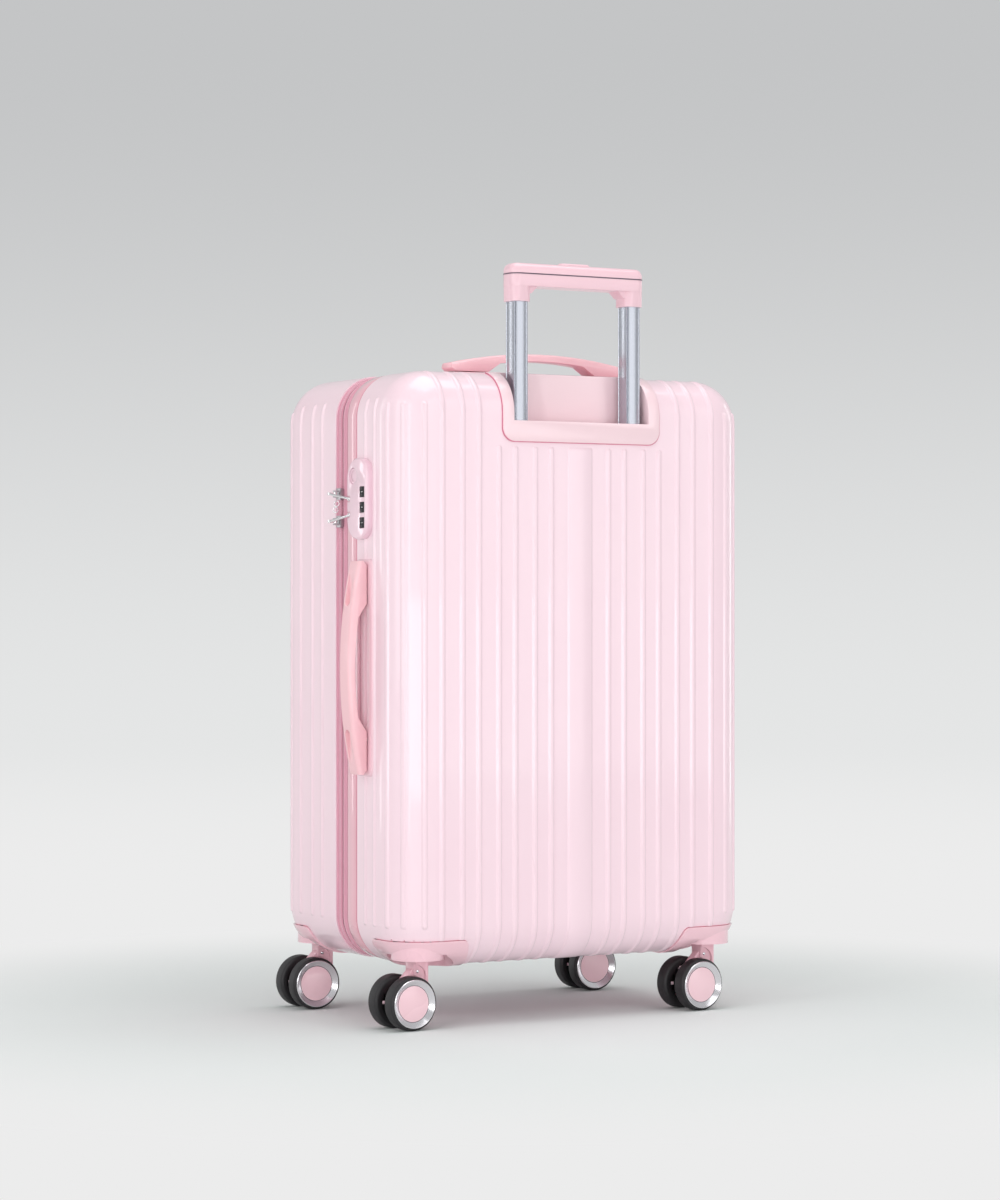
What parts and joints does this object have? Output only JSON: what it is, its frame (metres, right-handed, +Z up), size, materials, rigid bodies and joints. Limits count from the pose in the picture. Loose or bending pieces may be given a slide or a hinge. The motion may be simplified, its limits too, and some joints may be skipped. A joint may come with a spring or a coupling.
{
  "type": "hard shell spinner suitcase",
  "caption": "Ribbed hard shell suitcase with a telescopic trolley handle, zip closure, side lock, carrying handles and twin-wheel swivel casters.",
  "frame": {"origin": "on the floor, under the middle of the whole object's box; the case's own middle is 11.5 mm towards +X because the side handle stands out on -X", "axes": "+Z up along the trolley tubes, -Y out of the back face with the trolley handle, -X out of the side with the lock and carrying handle, +X out of the hinge side"},
  "size_m": [0.4426, 0.2755, 0.771],
  "materials": {
    "shell": "glossy pearl pink, moulded ribs",
    "band": "glossy pink",
    "zip_tape": "woven tape",
    "cup": "glossy light pink",
    "outer_tube": "anodised",
    "inner_tube": "bright anodised",
    "hidden_plastic": "moulded",
    "lining": "plain lining cloth over a stiff board",
    "grip_side": "satin pink",
    "grip_top": "glossy light pink",
    "button": "glossy light pink",
    "steel": "plain",
    "handle": "satin pink",
    "handle_base": "glossy pink",
    "lock": "glossy light pink",
    "lock_button": "glossy light pink",
    "dial": "black, pale numbers",
    "zip_metal": "bright nickel",
    "housing": "glossy pink",
    "fork": "glossy pink",
    "tyre": "smooth black",
    "hub": "black, spoked",
    "cap": "pink disc in a bright ring"
  },
  "bodies": {
    "case_back": {"back_shell": "shell", "middle_band": "band", "zip_tape_back": "zip_tape", "handle_cup": "cup", "outer_tubes": "outer_tube", "trolley_foot": "hidden_plastic", "top_handle_base": "handle_base", "side_handle_base": "handle_base", "lock_body": "lock", "zip_sliders": "zip_metal", "caster_housings_back": "housing", "liner_board": "lining"},
    "case_front": {"front_shell": "shell", "zip_tape_front": "zip_tape", "caster_housings_front": "housing"},
    "trolley": {"inner_tubes": "inner_tube", "grip_body": "grip_side", "grip_cover": "grip_top"},
    "release": {"release_button": "button", "release_rods": "steel"},
    "top_grip": {"top_handle": "handle"},
    "side_grip": {"side_handle": "handle"},
    "lock_push": {"lock_button": "lock_button"},
    "dial_a": {"dial_1": "dial"},
    "dial_b": {"dial_2": "dial"},
    "dial_c": {"dial_3": "dial"},
    "puller_a": {"upper_puller": "zip_metal"},
    "puller_b": {"lower_puller": "zip_metal"},
    "back_left_caster": {"back_left_fork": "fork", "back_left_axle": "steel"},
    "back_left_outer_wheel": {"back_left_outer_tyre": "tyre", "back_left_outer_hub": "hub", "back_left_outer_cap": "cap"},
    "back_left_inner_wheel": {"back_left_inner_tyre": "tyre", "back_left_inner_hub": "hub", "back_left_inner_cap": "cap"},
    "back_right_caster": {"back_right_fork": "fork", "back_right_axle": "steel"},
    "back_right_outer_wheel": {"back_right_outer_tyre": "tyre", "back_right_outer_hub": "hub", "back_right_outer_cap": "cap"},
    "back_right_inner_wheel": {"back_right_inner_tyre": "tyre", "back_right_inner_hub": "hub", "back_right_inner_cap": "cap"},
    "front_left_caster": {"front_left_fork": "fork", "front_left_axle": "steel"},
    "front_left_outer_wheel": {"front_left_outer_tyre": "tyre", "front_left_outer_hub": "hub", "front_left_outer_cap": "cap"},
    "front_left_inner_wheel": {"front_left_inner_tyre": "tyre", "front_left_inner_hub": "hub", "front_left_inner_cap": "cap"},
    "front_right_caster": {"front_right_fork": "fork", "front_right_axle": "steel"},
    "front_right_outer_wheel": {"front_right_outer_tyre": "tyre", "front_right_outer_hub": "hub", "front_right_outer_cap": "cap"},
    "front_right_inner_wheel": {"front_right_inner_tyre": "tyre", "front_right_inner_hub": "hub", "front_right_inner_cap": "cap"}
  },
  "joints": [
    {"name": "case_hinge", "type": "hinge", "parent": "case_back", "child": "case_front", "pos_m": [0.2225, -0.0095, 0.36], "axis": [0, 0, -1], "range_deg": [0, 165]},
    {"name": "trolley_slide", "type": "slide", "parent": "case_back", "child": "trolley", "axis": [0, 0, 1], "range_m": [-0.116, 0.29]},
    {"name": "release_press", "type": "slide", "parent": "trolley", "child": "release", "axis": [0, 0, -1], "range_m": [0, 0.0035], "stiffness_N_per_m": 800, "springref_m": -0.003},
    {"name": "top_handle_lift", "type": "slide", "parent": "case_back", "child": "top_grip", "axis": [0, 0, 1], "range_m": [0, 0.01], "stiffness_N_per_m": 200, "springref_m": -0.006},
    {"name": "side_handle_pull", "type": "slide", "parent": "case_back", "child": "side_grip", "axis": [-1, 0, 0], "range_m": [0, 0.01], "stiffness_N_per_m": 200, "springref_m": -0.006},
    {"name": "lock_press", "type": "slide", "parent": "case_back", "child": "lock_push", "axis": [1, 0, 0], "range_m": [0, 0.002], "stiffness_N_per_m": 500, "springref_m": -0.001},
    {"name": "dial_a_turn", "type": "hinge", "parent": "case_back", "child": "dial_a", "pos_m": [-0.199, -0.0705, 0.5365], "axis": [0, 0, 1], "continuous": true},
    {"name": "dial_b_turn", "type": "hinge", "parent": "case_back", "child": "dial_b", "pos_m": [-0.199, -0.0705, 0.521], "axis": [0, 0, 1], "continuous": true},
    {"name": "dial_c_turn", "type": "hinge", "parent": "case_back", "child": "dial_c", "pos_m": [-0.199, -0.0705, 0.5055], "axis": [0, 0, 1], "continuous": true},
    {"name": "puller_a_swing", "type": "hinge", "parent": "case_back", "child": "puller_a", "pos_m": [-0.203, -0.0095, 0.536], "axis": [0, 0, -1], "range_deg": [0, 100]},
    {"name": "puller_b_swing", "type": "hinge", "parent": "case_back", "child": "puller_b", "pos_m": [-0.203, -0.0095, 0.508], "axis": [0, 0, -1], "range_deg": [0, 100]},
    {"name": "back_left_swivel", "type": "hinge", "parent": "case_back", "child": "back_left_caster", "pos_m": [-0.1595, -0.104, 0.065], "axis": [0, 0, 1], "continuous": true},
    {"name": "back_left_outer_spin", "type": "hinge", "parent": "back_left_caster", "child": "back_left_outer_wheel", "pos_m": [-0.17743, -0.10557, 0.027], "axis": [-0.0872, 0.9962, 0], "continuous": true},
    {"name": "back_left_inner_spin", "type": "hinge", "parent": "back_left_caster", "child": "back_left_inner_wheel", "pos_m": [-0.17743, -0.10557, 0.027], "axis": [-0.0872, 0.9962, 0], "continuous": true},
    {"name": "back_right_swivel", "type": "hinge", "parent": "case_back", "child": "back_right_caster", "pos_m": [0.1825, -0.104, 0.065], "axis": [0, 0, 1], "continuous": true},
    {"name": "back_right_outer_spin", "type": "hinge", "parent": "back_right_caster", "child": "back_right_outer_wheel", "pos_m": [0.16457, -0.10557, 0.027], "axis": [-0.0872, 0.9962, 0], "continuous": true},
    {"name": "back_right_inner_spin", "type": "hinge", "parent": "back_right_caster", "child": "back_right_inner_wheel", "pos_m": [0.16457, -0.10557, 0.027], "axis": [-0.0872, 0.9962, 0], "continuous": true},
    {"name": "front_left_swivel", "type": "hinge", "parent": "case_front", "child": "front_left_caster", "pos_m": [-0.1595, 0.104, 0.065], "axis": [0, 0, 1], "continuous": true},
    {"name": "front_left_outer_spin", "type": "hinge", "parent": "front_left_caster", "child": "front_left_outer_wheel", "pos_m": [-0.1775, 0.104, 0.027], "axis": [0, 1, 0], "continuous": true},
    {"name": "front_left_inner_spin", "type": "hinge", "parent": "front_left_caster", "child": "front_left_inner_wheel", "pos_m": [-0.1775, 0.104, 0.027], "axis": [0, 1, 0], "continuous": true},
    {"name": "front_right_swivel", "type": "hinge", "parent": "case_front", "child": "front_right_caster", "pos_m": [0.1825, 0.104, 0.065], "axis": [0, 0, 1], "continuous": true},
    {"name": "front_right_outer_spin", "type": "hinge", "parent": "front_right_caster", "child": "front_right_outer_wheel", "pos_m": [0.1645, 0.104, 0.027], "axis": [0, 1, 0], "continuous": true},
    {"name": "front_right_inner_spin", "type": "hinge", "parent": "front_right_caster", "child": "front_right_inner_wheel", "pos_m": [0.1645, 0.104, 0.027], "axis": [0, 1, 0], "continuous": true}
  ]
}
